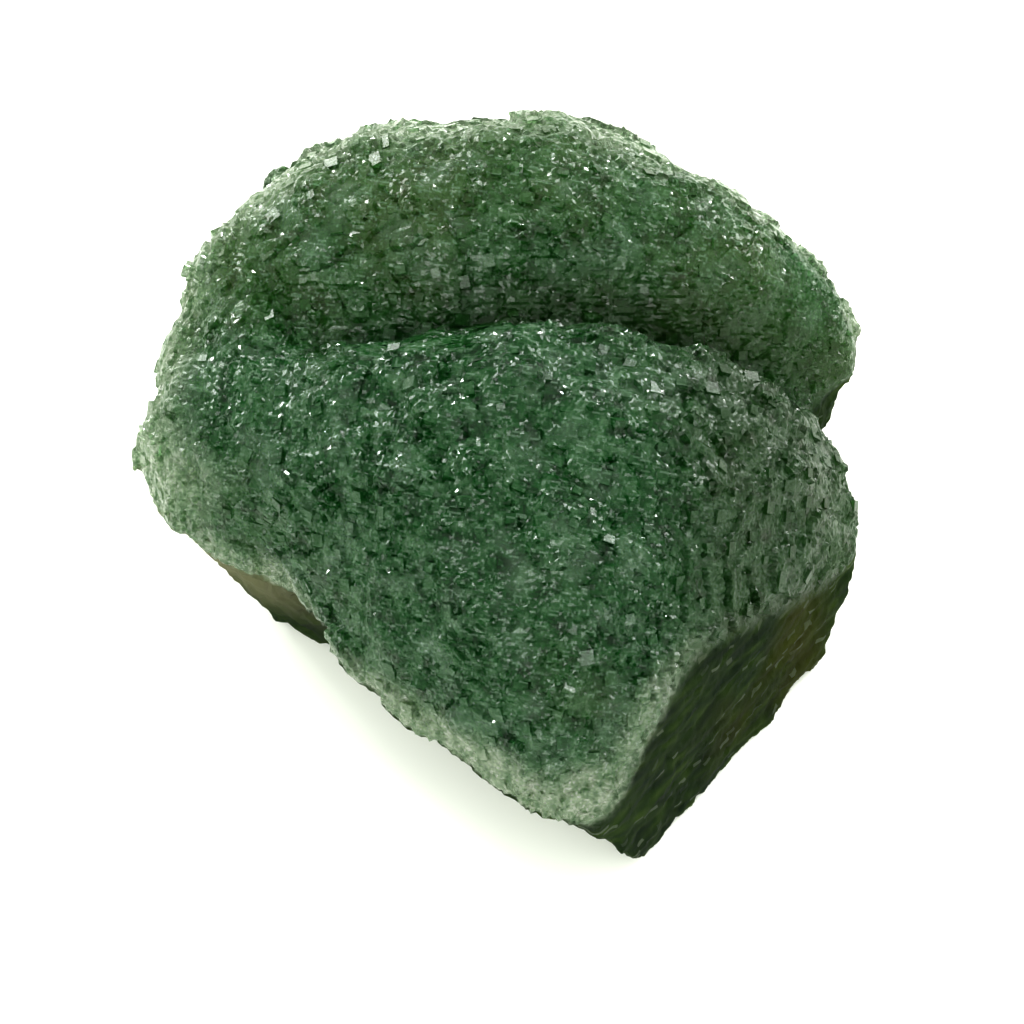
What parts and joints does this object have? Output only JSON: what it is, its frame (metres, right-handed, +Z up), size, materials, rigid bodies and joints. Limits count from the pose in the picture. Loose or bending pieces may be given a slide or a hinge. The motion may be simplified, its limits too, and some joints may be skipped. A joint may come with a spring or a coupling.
{
  "type": "mineral specimen",
  "caption": "Natural hand specimen of green botryoidal fluorite: rounded lobes of sugary crystal crust above a steep broken face, resting on its flat broken underside.",
  "frame": {"origin": "middle of the stone's outline seen from above, on the plane it rests on", "axes": "+Z up, +Y to the back of the stone, +X to its right, with the pointed foot and the steep break at the front right"},
  "size_m": [0.0758, 0.079, 0.0388],
  "materials": {
    "fluorite": "translucent green fluorite, sugary with small glassy crystal faces, smoother and darker olive on the broken faces"
  },
  "bodies": {
    "root": {"fluorite": "fluorite"}
  },
  "joints": []
}
